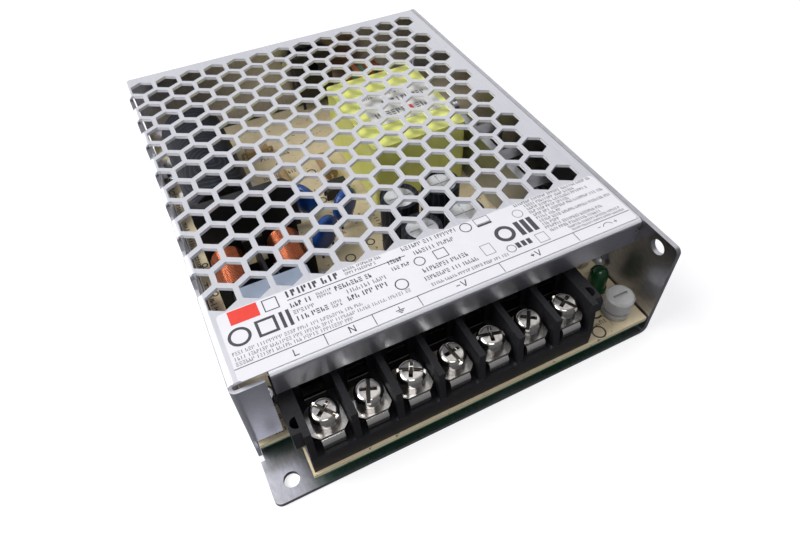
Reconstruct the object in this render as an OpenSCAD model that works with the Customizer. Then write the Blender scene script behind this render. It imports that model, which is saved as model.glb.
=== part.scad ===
// Mesh case switching power supply: a folded chassis and a perforated cover
// around a single-sided board with its terminal block, magnetics and capacitors.
// X is the width, Y the length with the terminals at the front (-Y), Z the height.

/* [Case] */
// Overall width across the side walls
case_w = 97; // [96:0.5:98]
// Overall length, terminal end to rear lip
case_l = 129; // [128:0.5:130]
// Overall height to the top face of the cover
case_h = 30; // [29.5:0.5:32]
// Thickness of the chassis sheet
sheet_t = 1.2; // [1:0.1:1.3]
// Thickness of the cover sheet
cover_t = 0.8; // [0.7:0.1:1.1]
// Inside radius of every sheet fold
fold_r = 0.6; // [0.4:0.1:0.8]
// Gap left between sheets that lie against each other
sheet_gap = 0.1; // [0.05:0.05:0.2]

/* [Mesh] */
// Distance across the flats of one hexagonal opening
mesh_af = 5.9; // [5:0.1:6.1]
// Distance between openings along a row
mesh_pitch = 7.14; // [7:0.02:7.3]
// Distance between rows
mesh_row = 6.335; // [6.2:0.005:6.4]
// Number of rows in the top face
mesh_rows = 15; // [8:1:15]
// Centre of the rear left opening, X
mesh_x = -44.09; // [-44.2:0.01:-43.9]
// Centre of the rear left opening, Y
mesh_y = 57.1; // [56:0.1:58]
// Rows of openings down the side wall, counted from the fold
side_rows = 5; // [1:1:5]

/* [Cover front] */
// Front face of the lip and the tab
lip_y = -53.4; // [-54:0.1:-53]
// Lower edge of the lip
lip_z = 23; // [22:0.5:25]
// Left end of the lip
lip_x = -40.7; // [-41:0.1:-39]
// Right edge of the tab beside the lip
tab_x = -41.8; // [-43:0.1:-41.6]
// Lower edge of the tab
tab_z = 9.3; // [8:0.1:12]

/* [Board] */
// Underside of the board above the resting plane
board_z = 4.8; // [4.5:0.1:5.2]
// Thickness of the board
board_t = 1.6; // [1.5:0.1:1.7]
// Front edge of the board under the terminals
board_front = -64.3; // [-64.4:0.1:-64]
// Front edge of the board behind the tab
board_step_y = -53; // [-53.4:0.1:-52]
// Left end of the stretch under the terminals
board_step_x = -39.5; // [-40:0.1:-39]

/* [Terminals] */
// Number of terminals
term_n = 7; // [5:1:7]
// Distance between terminals
term_pitch = 9.6; // [9.5:0.1:9.7]
// Middle of the row of terminals
term_x = -4.7; // [-5:0.1:-4]
// Screw axis
term_y = -58.3; // [-58.5:0.1:-58]
// Thickness of the walls between terminals
barrier_t = 1.5; // [1.3:0.1:1.7]
// Top of the walls between terminals
barrier_z = 20.6; // [20:0.1:21.5]
// Top face of the contact strips
contact_z = 14.8; // [14.5:0.1:15]
// Radius of the screw shank, M3.5
screw_r = 1.75; // [1.7:0.05:1.8]
// Radial clearance between the shank and its threaded contact
screw_clear = 0.05; // [0.02:0.01:0.08]
// Radius of the screw head
head_r = 3.1; // [2.9:0.1:3.6]

/* [Adjuster and lamp] */
// Axis of the output voltage adjuster, X
adj_x = 41; // [40:0.1:41.5]
// Axis of the output voltage adjuster, Y
adj_y = -59.4; // [-60:0.1:-59]
// Radius of the adjuster knob
adj_r = 3.45; // [3:0.05:3.5]
// Lamp axis, X
led_x = 41; // [40:0.1:42]
// Lamp axis, Y
led_y = -51.6; // [-52:0.1:-50]

/* [Hidden] */
$fn = 48;

left = -case_w / 2;
right = case_w / 2;
front = -case_l / 2;
rear = case_l / 2;
wall_in = right - sheet_t;                  // inner face of the chassis side wall
cover_right = wall_in - sheet_gap;          // right edge of the cover
side_in = left + cover_t;                   // inner face of the cover side wall
lip_in = lip_y + cover_t;                   // back face of the lip
rear_lip_in = rear - cover_t;               // inner face of the rear lip
tab_top = case_h - 1.4;                         // upper end of the front tab
rear_wall = rear_lip_in - sheet_gap;        // outer face of the chassis rear wall
top_in = case_h - cover_t;                  // underside of the cover
board_top = board_z + board_t;
board_left = left + cover_t + 0.3;
board_right = wall_in - 0.4;
board_rear = rear_wall - sheet_t - 0.6;

// Sheet fastenings
m3_tap_r = 1.25;
m3_shank_r = 1.2;
m3_clear_r = 1.7;
case_hole_r = 1.75;                         // mounting hole in the base
case_hole = [-43.8, -60.4];
wall_hole_r = 1.95;                         // mounting hole in the side wall
wall_hole = [-59.4, 26.6];                  // its Y and Z
side_tap = [[-45.5, 9.4], [32, 9.4]];       // burred M3 holes in the side wall, Y and Z
base_tap = [[-30, -40], [30, -40], [0, 46]]; // burred M3 holes in the base, X and Y
post = [[-43, -43], [42.2, -41], [-42.5, 56.5], [41, 56.5]]; // board posts, X and Y
post_r = 2.6;
ear_y = [-22, 46];                          // chassis ears that carry the cover, Y
ear_l = 10;
ear_z = 9;
ear_screw_z = 4.2;
rear_screw = [0, 24];                       // rear cover screw, X and Z
head_sink_r = 2.9;

// Rating label on the solid front stretch of the cover
label_t = 0.12;
label = [-46.2, -52.4, 46.6, -35.5];        // left, front, right, rear

// Terminal block
block_front = -63.7;
block_rear = -47;
ledge_z = 11.8;
barrier_front = -62.9;
barrier_foot = 2.6;
bay_w = term_pitch - barrier_t;
bays_w = term_n * term_pitch - barrier_t;
end_t = 1.5;                                // end wall below the ears
ear_w = 3.4;                                // ear at the top of each end wall
ear_hole_r = 1.3;
ear_hole_x = bays_w / 2 + ear_w / 2;
ear_hole_y = -59.3;
back_wall_y = -51.6;
contact_t = 0.8;
contact_w = 4.8;
contact_front = -62.7;
contact_rear = -52.4;
contact_leg = 12.1;
plate_gap = 0.15;
plate_t = 0.8;
plate_w = 7.7;
plate_z = contact_z + plate_gap;
washer_t = 1;
washer_r = 3.1;
head_gap = 0.1;
head_z = plate_z + plate_t + washer_t + head_gap;
head_h = 2.6;
shank_z = 9;

// Parts on the board, [left, front, right, rear] at the board and top height
bulk_c = [-35, 15.7];                       // axis of the lying capacitor, X and Z
bulk_r = 9;
bulk_y = [9, 49];
rectifier = [-43.8, 3.1, -17.4, 6.6];       // upright bridge rectifier
rectifier_z = 24;
switcher = [1.8, 57.3, 14.4, 61.8];         // main transistor in front of the rear wall
switcher_z = [11, 26.6];                    // lower and upper end of its body
film = [-40.6, -37.4, -23.6, -22.3];
film_z = 21;
choke_x = [-39.4, -24.9];                   // axes of the two coils
choke_z = 14.4;
choke_r = 4.2;
choke_tube_r = 3.9;                         // inside of the coils
choke_y = [-19.9, -2.2];
trafo = [5, 2, 33.6, 36.6];
trafo_z = 27;
out_caps = [[4.6, -14.5], [16.4, -14.5], [4.6, -26.9], [16.4, -26.9]];
out_cap_r = 5;
out_cap_z = 24;
discs = [[-14, -7.6, 35], [-5.2, 0.2, 35], [-14.6, 7.2, -60]]; // X, Y and turn
disc_r = 4.9;
bar = [35, -33, 37.2, 10];                  // upright heatsink bar
bar_z = 24;
semis_y = [-26, -13.4, -0.8];               // power semiconductors on its right face
semi_w = 10;
semi_t = 4.6;
semi_z = 3.4;                               // standing height of a body over the board
semi_body_h = 10.4;
semi_tab_h = 13.6;

function bay_x(i) = term_x + (i - (term_n - 1) / 2) * term_pitch;

// Box between two corners
module block3(a, b) {
    translate(a)
        cube([b[0] - a[0], b[1] - a[1], b[2] - a[2]]);
}

// Box on the board from a plan rectangle to a top height
module on_board(rect, top, lift = 0) {
    block3([rect[0], rect[1], board_top + lift], [rect[2], rect[3], top]);
}

// Plan rectangle with round corners
module round_rect(w, d, r) {
    translate([r, 0]) square([w - 2 * r, d]);
    translate([0, r]) square([w, d - 2 * r]);
    for (x = [r, w - r], y = [r, d - r])
        translate([x, y]) circle(r);
}

// Upright box with round vertical edges
module pillar_box(rect, z0, z1, r) {
    translate([rect[0], rect[1], z0])
        linear_extrude(z1 - z0)
            round_rect(rect[2] - rect[0], rect[3] - rect[1], r);
}

// Section of a sheet that lies along X and folds up at its right end
module fold_section(run, rise, t, r) {
    if (run > t + r)
        square([run - t - r, t]);
    if (rise > t + r)
        translate([run - t, t + r]) square([t, rise - t - r]);
    translate([run - t - r, t + r])
        intersection() {
            difference() {
                circle(t + r);
                circle(r);
            }
            translate([0, -t - r]) square(t + r);
        }
}

// Tube along +Z
module tube(r_out, r_in, h) {
    difference() {
        cylinder(r = r_out, h = h);
        translate([0, 0, -1]) cylinder(r = r_in, h = h + 2);
    }
}

// ---- sheet metal ----

module chassis_shell() {
    // base with the right wall folded up
    translate([left, rear_wall, 0])
        rotate([90, 0, 0])
            linear_extrude(rear_wall - front)
                fold_section(case_w, case_h, sheet_t, fold_r);
    // rear wall
    translate([wall_in - 0.4, 0, 0])
        rotate([90, 0, -90])
            linear_extrude(wall_in - 0.4 - side_in - 0.4)
                translate([-rear_wall, 0]) rear_section();
}

// Rear fold, drawn with the wall on the left
module rear_section() {
    translate([20, 0]) mirror([1, 0]) fold_section(20, top_in - fold_r - sheet_gap, sheet_t, fold_r);
}

module chassis() {
    color([0.78, 0.79, 0.82])
    difference() {
        union() {
            chassis_shell();
            for (p = post)
                translate([p[0], p[1], sheet_t - 0.1]) cylinder(r = post_r, h = board_z - sheet_t + 0.1);
            for (p = base_tap)
                translate([p[0], p[1], sheet_t - 0.1]) cylinder(r = 2.4, h = 1.2);
            for (p = side_tap)
                translate([wall_in + 0.1, p[0], p[1]]) rotate([0, -90, 0]) cylinder(r = 2.4, h = 1);
            for (y = ear_y)
                block3([side_in + sheet_gap, y - ear_l / 2, 0.2],
                    [side_in + sheet_gap + sheet_t, y + ear_l / 2, ear_z]);
        }
        // room for the cover side wall
        block3([left - 1, lip_y - 0.4, -1], [side_in + sheet_gap, rear + 1, sheet_t + 1]);
        for (p = post)
            translate([p[0], p[1], -1]) cylinder(r = m3_tap_r, h = board_z + 2);
        for (p = base_tap)
            translate([p[0], p[1], -1]) cylinder(r = m3_tap_r, h = 6);
        for (p = side_tap)
            translate([wall_in - 2, p[0], p[1]]) rotate([0, 90, 0]) cylinder(r = m3_tap_r, h = 6);
        for (y = ear_y)
            translate([left - 1, y, ear_screw_z]) rotate([0, 90, 0]) cylinder(r = m3_tap_r, h = 6);
        translate([rear_screw[0], rear_wall - 4, rear_screw[1]])
            rotate([-90, 0, 0]) cylinder(r = m3_tap_r, h = 6);
        translate([case_hole[0], case_hole[1], -1]) cylinder(r = case_hole_r, h = 4);
        translate([wall_in - 2, wall_hole[0], wall_hole[1]])
            rotate([0, 90, 0]) cylinder(r = wall_hole_r, h = 5);
        corner_cut();
    }
}

// Rounds the upper front corner of the side wall and the front corners of the base
module corner_cut() {
    r = 1.6;
    translate([wall_in - 1, front, case_h])
        rotate([90, 0, 90])
            linear_extrude(4)
                difference() {
                    translate([-1, -r]) square([r + 1, r + 1]);
                    translate([r, -r]) circle(r);
                }
    translate([left, front, -1])
        linear_extrude(4)
            difference() {
                translate([-1, -1]) square([r + 1, r + 1]);
                translate([r, r]) circle(r);
            }
}

// One hexagonal opening, points towards +Y and -Y
module hexagon() {
    rotate(30) circle(r = mesh_af / sqrt(3), $fn = 6);
}

function row_y(j) = mesh_y - j * mesh_row;
function row_x(j) = mesh_x + (j % 2) * mesh_pitch / 2;
function row_n(j) = 13 - (j % 2);
side_step = mesh_pitch / 2;
side_first = case_h - 4; // first opening below the fold

module cover() {
    color([0.8, 0.8, 0.86])
    difference() {
        union() {
            // top and left wall
            translate([cover_right, rear - cover_t - fold_r, case_h])
                rotate([90, 180, 0])
                    linear_extrude(rear - cover_t - fold_r - lip_y - cover_t - fold_r)
                        fold_section(cover_right - left, case_h - 0.4, cover_t, fold_r);
            front_lip();
            front_tab();
            rear_lip();
        }
        mesh_top();
        mesh_side();
        for (y = ear_y)
            translate([left - 0.01, y, ear_screw_z]) rotate([0, 90, 0]) screw_sink();
        translate([rear_screw[0], rear + 0.01, rear_screw[1]]) rotate([90, 0, 0]) screw_sink();
        // relief at the right end of the lip fold
        translate([cover_right - 0.4, lip_y - 1, case_h - 2.6]) rotate([-90, 0, 0]) cylinder(r = 0.9, h = 4);
    }
}

// Clearance hole with a countersink, opening towards -Z
module screw_sink() {
    translate([0, 0, -0.5]) cylinder(r = m3_clear_r, h = 4);
    translate([0, 0, -0.5]) cylinder(r = head_sink_r, h = 0.5 + cover_t - 0.3);
}

module front_lip() {
    translate([lip_x, lip_in + fold_r, case_h])
        rotate([90, 180, 90])
            linear_extrude(cover_right - lip_x)
                fold_section(cover_t + fold_r, case_h - lip_z, cover_t, fold_r);
}

module rear_lip() {
    translate([side_in + fold_r, rear - cover_t - fold_r, case_h])
        rotate([90, 180, 90])
            linear_extrude(cover_right - side_in - fold_r)
                mirror([1, 0]) fold_section(cover_t + fold_r, 10, cover_t, fold_r);
    block3([left, rear - cover_t - fold_r - 0.01, 0.4],
        [side_in, rear - sheet_gap, case_h - cover_t - fold_r]);
}

module front_tab() {
    translate([left + cover_t + fold_r, lip_y, tab_z])
        linear_extrude(tab_top - tab_z)
            mirror([1, 0]) fold_section(cover_t + fold_r, cover_t + fold_r + 0.01, cover_t, fold_r);
    block3([left + cover_t + fold_r - 0.01, lip_y, tab_z], [tab_x, lip_in, tab_top]);
}

module mesh_top() {
    translate([0, 0, top_in - 1])
        linear_extrude(cover_t + 2)
            for (j = [0 : mesh_rows - 1])
                for (i = [0 : row_n(j) - 1])
                    translate([row_x(j) + i * mesh_pitch, row_y(j)]) hexagon();
    // openings that run over the fold
    translate([0, 0, case_h - cover_t - fold_r - 0.2])
        linear_extrude(cover_t + fold_r + 2)
            for (j = [1 : 2 : mesh_rows - 1])
                translate([row_x(j) - mesh_pitch, row_y(j)]) hexagon();
}

module mesh_side() {
    translate([left - 1, 0, 0])
        rotate([90, 0, 90])
            linear_extrude(cover_t + 2)
                for (j = [0 : mesh_rows - 1])
                    for (k = [0 : side_rows - 1])
                        if ((j + k) % 2 == 0)
                            translate([row_y(j), side_first - k * side_step]) rotate(90) hexagon();
    translate([left - 1, 0, 0])
        rotate([90, 0, 90])
            linear_extrude(cover_t + fold_r + 1.2)
                for (j = [1 : 2 : mesh_rows - 1])
                    translate([row_y(j), side_first + side_step]) rotate(90) hexagon();
}

module rating_label() {
    color([0.95, 0.95, 0.96])
    pillar_box(label, case_h, case_h + label_t, 1);
}

module insulation_sheet() {
    color([0.85, 0.87, 0.88])
    difference() {
        block3([-45.8, -50.5, sheet_t], [45.8, 60.6, sheet_t + 0.3]);
        for (p = post)
            translate([p[0], p[1], 0]) cylinder(r = post_r + 0.5, h = 4);
        for (p = base_tap)
            translate([p[0], p[1], 0]) cylinder(r = 3, h = 4);
    }
}

// ---- board and fasteners ----

module pcb() {
    color([0.79, 0.73, 0.6])
    difference() {
        block3([board_left, board_front, board_z], [board_right, board_rear, board_top]);
        block3([board_left - 1, board_front - 1, board_z - 1], [board_step_x, board_step_y, board_top + 1]);
        for (y = ear_y)
            block3([board_left - 1, y - ear_l / 2 - 0.5, board_z - 1],
                [side_in + sheet_gap + sheet_t + 2.6, y + ear_l / 2 + 0.5, board_top + 1]);
        for (p = post)
            translate([p[0], p[1], 0]) cylinder(r = m3_clear_r, h = board_top + 1);
    }
}

module pcb_screws() {
    color([0.75, 0.75, 0.76])
    for (p = post)
        translate([p[0], p[1], board_top])
            difference() {
                union() {
                    cylinder(r = 2.8, h = 1.2);
                    translate([0, 0, 1.2]) cylinder(r1 = 2.8, r2 = 2, h = 0.7);
                    translate([0, 0, -5]) cylinder(r = m3_shank_r, h = 5.1);
                }
                cross_recess(1.9, 3, 0.8, 1);
            }
}

// Cross recess cut down from height z
module cross_recess(z, w, t, deep) {
    for (a = [0, 90])
        rotate(a) translate([-w / 2, -t / 2, z - deep]) cube([w, t, deep + 1]);
}

module cover_screw() {
    difference() {
        union() {
            cylinder(r = head_sink_r - 0.15, h = cover_t - 0.35);
            cylinder(r = m3_shank_r, h = 4.4);
        }
        rotate([180, 0, 0]) cross_recess(0.2, 3, 0.7, 0.6);
    }
}

module cover_screws() {
    color([0.75, 0.75, 0.76]) {
        for (y = ear_y)
            translate([left, y, ear_screw_z]) rotate([0, 90, 0]) cover_screw();
        translate([rear_screw[0], rear, rear_screw[1]]) rotate([90, 0, 0]) cover_screw();
    }
}

// ---- terminals ----

// Side section of a wall between two terminals, Y across and Z up
module barrier_section() {
    polygon([[block_rear, board_top], [block_rear, barrier_z], [barrier_front, barrier_z],
        [barrier_front, 17.8], [block_front, ledge_z], [block_front, board_top]]);
}

// Wall between two terminals, with a foot that widens below its upper end
module barrier() {
    rotate([90, 0, 90])
        translate([0, 0, -barrier_t / 2])
            linear_extrude(barrier_t) barrier_section();
    translate([0, block_front + 0.8, 0])
        rotate([90, 0, 0])
            linear_extrude(0.8)
                polygon([[-barrier_foot / 2, ledge_z], [barrier_foot / 2, ledge_z], [0, 12.6]]);
}

module end_wall(side) {
    edge = bays_w / 2;
    translate([side > 0 ? edge : -edge - end_t, 0, 0])
        rotate([90, 0, 90])
            linear_extrude(end_t) barrier_section();
    // ear with its hole
    difference() {
        translate([side > 0 ? edge : -edge - ear_w, 0, 0])
            rotate([90, 0, 90])
                linear_extrude(ear_w)
                    polygon([[block_rear, 8.6], [block_rear, barrier_z], [-61.6, barrier_z],
                        [-62.4, barrier_z - 0.8], [-62.4, 16.6], [-60.6, 12.6], [-57, 8.6]]);
        translate([side * ear_hole_x, ear_hole_y, barrier_z - 5]) cylinder(r = ear_hole_r, h = 6);
    }
}

module terminal_block() {
    color([0.1, 0.1, 0.11])
    translate([term_x, 0, 0])
    difference() {
        union() {
            block3([-bays_w / 2 - end_t, block_front, board_top], [bays_w / 2 + end_t, block_rear, ledge_z]);
            block3([-bays_w / 2 - 0.1, -61.2, board_top],
                [bays_w / 2 + 0.1, block_rear, contact_z - contact_t]);
            block3([-bays_w / 2 - 0.1, back_wall_y, board_top],
                [bays_w / 2 + 0.1, block_rear, barrier_z - 0.4]);
            for (i = [1 : term_n - 1])
                translate([(i - term_n / 2) * term_pitch, 0, 0]) barrier();
            end_wall(-1);
            end_wall(1);
        }
        for (i = [0 : term_n - 1])
            translate([bay_x(i) - term_x, 0, 0]) {
                translate([0, term_y, shank_z - 0.6]) cylinder(r = screw_r + 0.4, h = 12);
                // pocket for the contact strip
                block3([-contact_w / 2 - 0.1, contact_rear - 0.1, contact_z - contact_t],
                    [contact_w / 2 + 0.1, back_wall_y + 1.3, barrier_z + 1]);
            }
        // underside relief around the solder pins
        block3([-bays_w / 2 + 1, -60, board_top - 1], [bays_w / 2 - 1, -50, board_top + 0.4]);
    }
}

// One contact: strip under the screw, front end folded down, rear end folded up
module contact() {
    difference() {
        union() {
            translate([contact_w / 2, 0, 0])
                rotate([90, 0, -90])
                    linear_extrude(contact_w)
                        contact_section();
        }
        translate([0, term_y, contact_z - 2]) cylinder(r = screw_r + screw_clear, h = 4);
    }
}

// Section of a contact, drawn with the front end on the right
module contact_section() {
    r = 0.5;
    run = -contact_front + contact_rear;
    translate([-contact_rear, contact_z])
        mirror([0, 1])
            fold_section(run, contact_z - contact_leg, contact_t, r);
    translate([-contact_rear, contact_z - contact_t])
        mirror([1, 0])
            fold_section(contact_t + r, 4.6, contact_t, r);
}

module terminal_contacts() {
    color([0.82, 0.82, 0.8])
    for (i = [0 : term_n - 1])
        translate([bay_x(i), 0, 0]) contact();
}

module terminal_screw(i) {
    color([0.8, 0.79, 0.76])
    translate([bay_x(i), term_y, 0])
        difference() {
            union() {
                translate([0, 0, shank_z + 0.6]) cylinder(r = screw_r, h = head_z - shank_z);
                translate([0, 0, shank_z]) cylinder(r1 = screw_r - 0.6, r2 = screw_r, h = 0.6);
                pan_head();
            }
            translate([0, 0, head_z]) cross_recess(head_h, 3.7, 0.9, 1.7);
            translate([-0.45, -head_r - 1, head_z + head_h - 1.1]) cube([0.9, 2 * head_r + 2, 2]);
        }
}

// Domed head, turned
module pan_head() {
    edge = 1.2;
    rotate_extrude()
        translate([0, head_z])
            union() {
                square([head_r - edge, head_h]);
                square([head_r, head_h - edge]);
                translate([head_r - edge, head_h - edge])
                    intersection() {
                        circle(edge);
                        square(edge);
                    }
            }
}

// Square clamp plate with a round front, and the spring washer that sits on it
module clamp_plate(i) {
    color([0.8, 0.8, 0.8])
    translate([bay_x(i), term_y, 0]) {
        difference() {
            union() {
                translate([0, 0, plate_z])
                    linear_extrude(plate_t)
                        intersection() {
                            circle(4.6);
                            square(plate_w, center = true);
                        }
                translate([0, 0, plate_z + plate_t - 0.05]) cylinder(r = washer_r, h = washer_t + 0.05);
            }
            translate([0, 0, plate_z - 1]) cylinder(r = screw_r + 0.09, h = 5);
        }
    }
}

// ---- adjuster and lamp ----

module adjuster_body() {
    color([0.75, 0.75, 0.74])
    translate([adj_x, adj_y, board_top])
        difference() {
            union() {
                translate([0, 0, 0.9]) cylinder(r = adj_r - 0.1, h = 1.2);
                for (a = [90, 210, 330])
                    rotate(a) translate([2.2, -0.4, 0]) cube([0.8, 0.8, 1.4]);
            }
            translate([0, 0, -1]) cylinder(r = 1.1, h = 5);
        }
}

module adjuster_knob() {
    color([0.86, 0.86, 0.85])
    translate([adj_x, adj_y, board_top])
        difference() {
            union() {
                translate([0, 0, 2.4]) cylinder(r1 = adj_r - 0.4, r2 = adj_r, h = 1);
                translate([0, 0, 3.4]) cylinder(r = adj_r, h = 3);
                translate([0, 0, 6.4]) cylinder(r1 = adj_r, r2 = adj_r - 0.5, h = 0.5);
                translate([0, 0, 0.3]) cylinder(r = 1.04, h = 2.4);
            }
            translate([-2.1, -0.4, 6.1]) cube([4.2, 0.8, 2]);
        }
}

module power_led() {
    color([0.12, 0.35, 0.18])
    translate([led_x, led_y, board_top])
        rotate([-6, 5, 0]) {
            translate([0, 0, 0.9]) cylinder(r = 2.7, h = 0.9);
            translate([0, 0, 0.9]) cylinder(r = 2.35, h = 4.6);
            translate([0, 0, 5.5]) sphere(r = 2.35);
            for (x = [-1.27, 1.27])
                translate([x - 0.25, -0.25, 0.15]) cube([0.5, 0.5, 1]);
        }
}

// ---- mains side ----

// Can lying along Y, with a rolled groove and a rubber end
module bulk_capacitor_can() {
    color([0.75, 0.76, 0.78])
    translate([bulk_c[0], bulk_y[0], bulk_c[1]])
        rotate([-90, 0, 0])
            difference() {
                cylinder(r = bulk_r - 0.3, h = bulk_y[1] - bulk_y[0]);
                translate([0, 0, 3])
                    rotate_extrude() translate([bulk_r - 0.1, 0]) circle(0.7);
                for (a = [0, 60, 120])
                    translate([0, 0, bulk_y[1] - bulk_y[0]])
                        rotate(a) translate([-6, -0.2, -0.3]) cube([12, 0.4, 1]);
            }
}

module bulk_capacitor_sleeve() {
    color([0.07, 0.09, 0.16])
    translate([bulk_c[0], bulk_y[0] + 0.1, bulk_c[1]])
        rotate([-90, 0, 0]) {
            length = bulk_y[1] - bulk_y[0] + 0.1;
            tube(bulk_r, bulk_r - 0.28, length);
            translate([0, 0, length]) tube(bulk_r, bulk_r - 1.6, 0.25);
        }
}

// Domed beads of adhesive on the board
module capacitor_adhesive() {
    color([0.88, 0.88, 0.86])
    for (b = [[-43.9, 50.8, 2], [-43.6, 29, 2.2], [-43.5, 33.5, 1.8],
        [-25, 27, 2.2], [-24.8, 32, 1.8], [-18.6, -15, 1.6]])
        intersection() {
            translate([b[0], b[1], board_top]) sphere(r = b[2]);
            translate([b[0] - 5, b[1] - 5, board_top]) cube([10, 10, 5]);
        }
}

// Flat black body on four leads, with one corner cut off
module bridge_rectifier() {
    body_z = board_top + 3;
    lead = 1;
    notch = 3;
    color([0.1, 0.1, 0.11])
    difference() {
        union() {
            block3([rectifier[0], rectifier[1], body_z], [rectifier[2], rectifier[3], rectifier_z]);
            for (x = [-39.5, -33, -28, -21.5])
                block3([x - lead / 2, rectifier[1] + 1.2, board_top],
                    [x + lead / 2, rectifier[1] + 2.2, body_z + 0.1]);
        }
        translate([rectifier[2], rectifier[1] - 1, rectifier_z])
            rotate([0, 45, 0])
                translate([-notch / 2, 0, -notch / 2]) cube([notch, rectifier[3] - rectifier[1] + 2, notch]);
    }
}

// Main transistor, upright against the rear wall
module main_transistor() {
    mid = (switcher[0] + switcher[2]) / 2;
    lead = 0.9;
    color([0.1, 0.1, 0.11])
    difference() {
        union() {
            block3([switcher[0], switcher[1], switcher_z[0]], [switcher[2], switcher[3], switcher_z[1]]);
            for (x = [mid - 4.4, mid, mid + 4.4])
                block3([x - lead / 2, switcher[1] + 1.4, board_top],
                    [x + lead / 2, switcher[1] + 2.1, switcher_z[0] + 0.1]);
        }
        translate([mid, switcher[1] - 1, switcher_z[1] - 4.6]) rotate([-90, 0, 0]) cylinder(r = 1.8, h = 8);
    }
}

// Frame core that both coils share
module choke_core() {
    color([0.2, 0.19, 0.19])
    difference() {
        block3([choke_x[0] - 2, choke_y[0] - 2, choke_z - 2],
            [choke_x[1] + 2, choke_y[1] + 1.2, choke_z + 2]);
        block3([choke_x[0] + 2, choke_y[0] + 0.8, choke_z - 3],
            [choke_x[1] - 2, choke_y[1] - 1.6, choke_z + 3]);
    }
}

// Two tubes with flanges, joined below, and a divider between the coils
module choke_bobbin() {
    tube_half = 2.7;
    flange = choke_r + 0.4;
    flange_t = 0.9;
    front_flange = choke_y[0] + flange_t;
    rear_end = choke_y[1] - 1.7;
    divider = [-32.55, -31.75];
    color([0.1, 0.1, 0.1])
    difference() {
        union() {
            for (y = [front_flange, rear_end - flange_t], x = choke_x)
                block3([x - flange, y, board_top + 0.2], [x + flange, y + flange_t, choke_z + flange]);
            for (x = choke_x)
                block3([x - tube_half, front_flange, choke_z - tube_half],
                    [x + tube_half, rear_end, choke_z + tube_half]);
            block3([choke_x[0] + choke_r - 0.2, front_flange, board_top + 0.2],
                [choke_x[1] - choke_r + 0.2, rear_end, board_top + 1.6]);
            block3([divider[0], front_flange, board_top + 1.5], [divider[1], rear_end, choke_z + flange]);
        }
        for (x = choke_x)
            block3([x - 2.1, choke_y[0] - 3, choke_z - 2.1], [x + 2.1, choke_y[1] + 3, choke_z + 2.1]);
    }
}

// Ridged windings, one ring for each turn
module choke_coils() {
    turns = 9;
    run = choke_y[1] - 2.7 - choke_y[0] - 2;
    wire = run / turns;
    dip = 0.06;
    color([0.75, 0.4, 0.28])
    for (x = choke_x)
        translate([x, choke_y[0] + 1.9, choke_z])
            rotate([-90, 0, 0])
                rotate_extrude() {
                    translate([choke_tube_r, 0]) square([0.1, run]);
                    for (i = [0 : turns - 1])
                        translate([choke_tube_r, i * wire])
                            square([choke_r - choke_tube_r - dip * (i % 2), wire]);
                }
}

module film_capacitor() {
    color([0.66, 0.71, 0.79]) {
        pillar_box(film, board_top + 0.4, film_z, 0.5);
        for (x = [film[0] + 1, film[2] - 1])
            translate([x, (film[1] + film[3]) / 2, board_top]) cylinder(r = 0.4, h = 0.5);
    }
}

// Disc on two legs, turned about Z
module disc_on_legs(x, y, turn, r, t, z) {
    translate([x, y, z])
        rotate(turn) {
            rotate([90, 0, 0]) cylinder(r = r, h = t, center = true);
            for (s = [-2.5, 2.5])
                translate([s, 0, board_top - z]) cylinder(r = 0.35, h = z - board_top - sqrt(r * r - 9) + 0.3);
        }
}

module disc_capacitors() {
    color([0.1, 0.28, 0.6])
    for (d = discs)
        disc_on_legs(d[0], d[1], d[2], disc_r, 3.6, board_top + disc_r + 2.4);
}

module inrush_thermistor() {
    color([0.16, 0.2, 0.16])
    disc_on_legs(-12, -43.5, 0, 5.2, 4, board_top + 7.4);
}

module fuse_tube() {
    color([0.85, 0.83, 0.78])
    translate([-30.6, -44, board_top + 3.4])
        rotate([0, 90, 0]) tube(2.3, 1.7, 9);
}

module fuse_caps() {
    color([0.8, 0.8, 0.8])
    for (x = [-33.1, -24.1])
        difference() {
            union() {
                translate([x, -44, board_top + 3.4]) rotate([0, 90, 0]) cylinder(r = 2.9, h = 5);
                translate([x + 2.5, -44, board_top]) cylinder(r = 0.5, h = 1.5);
            }
            translate([-30.6 - 0.02, -44, board_top + 3.4]) rotate([0, 90, 0]) cylinder(r = 2.32, h = 9.04);
        }
}

// ---- output side ----

trafo_cx = (trafo[0] + trafo[2]) / 2;
core_y = [trafo[1] + 1.6, trafo[3] - 1.6];
core_half = 12.6;
leg_half = 4;
leg_out = 3.8;
core_z = [9.6, 24.4];
yoke = 4.6;
wind_z = [7.6, 26.4];

// Two E halves butted: two windows either side of a middle leg
module transformer_core() {
    color([0.17, 0.17, 0.18])
    difference() {
        block3([trafo_cx - core_half, core_y[0], core_z[0]], [trafo_cx + core_half, core_y[1], core_z[1]]);
        for (s = [-1, 1])
            block3([trafo_cx + (s > 0 ? leg_half : -core_half + leg_out), core_y[0] + yoke, 0],
                [trafo_cx + (s > 0 ? core_half - leg_out : -leg_half), core_y[1] - yoke, 40]);
    }
}

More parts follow.
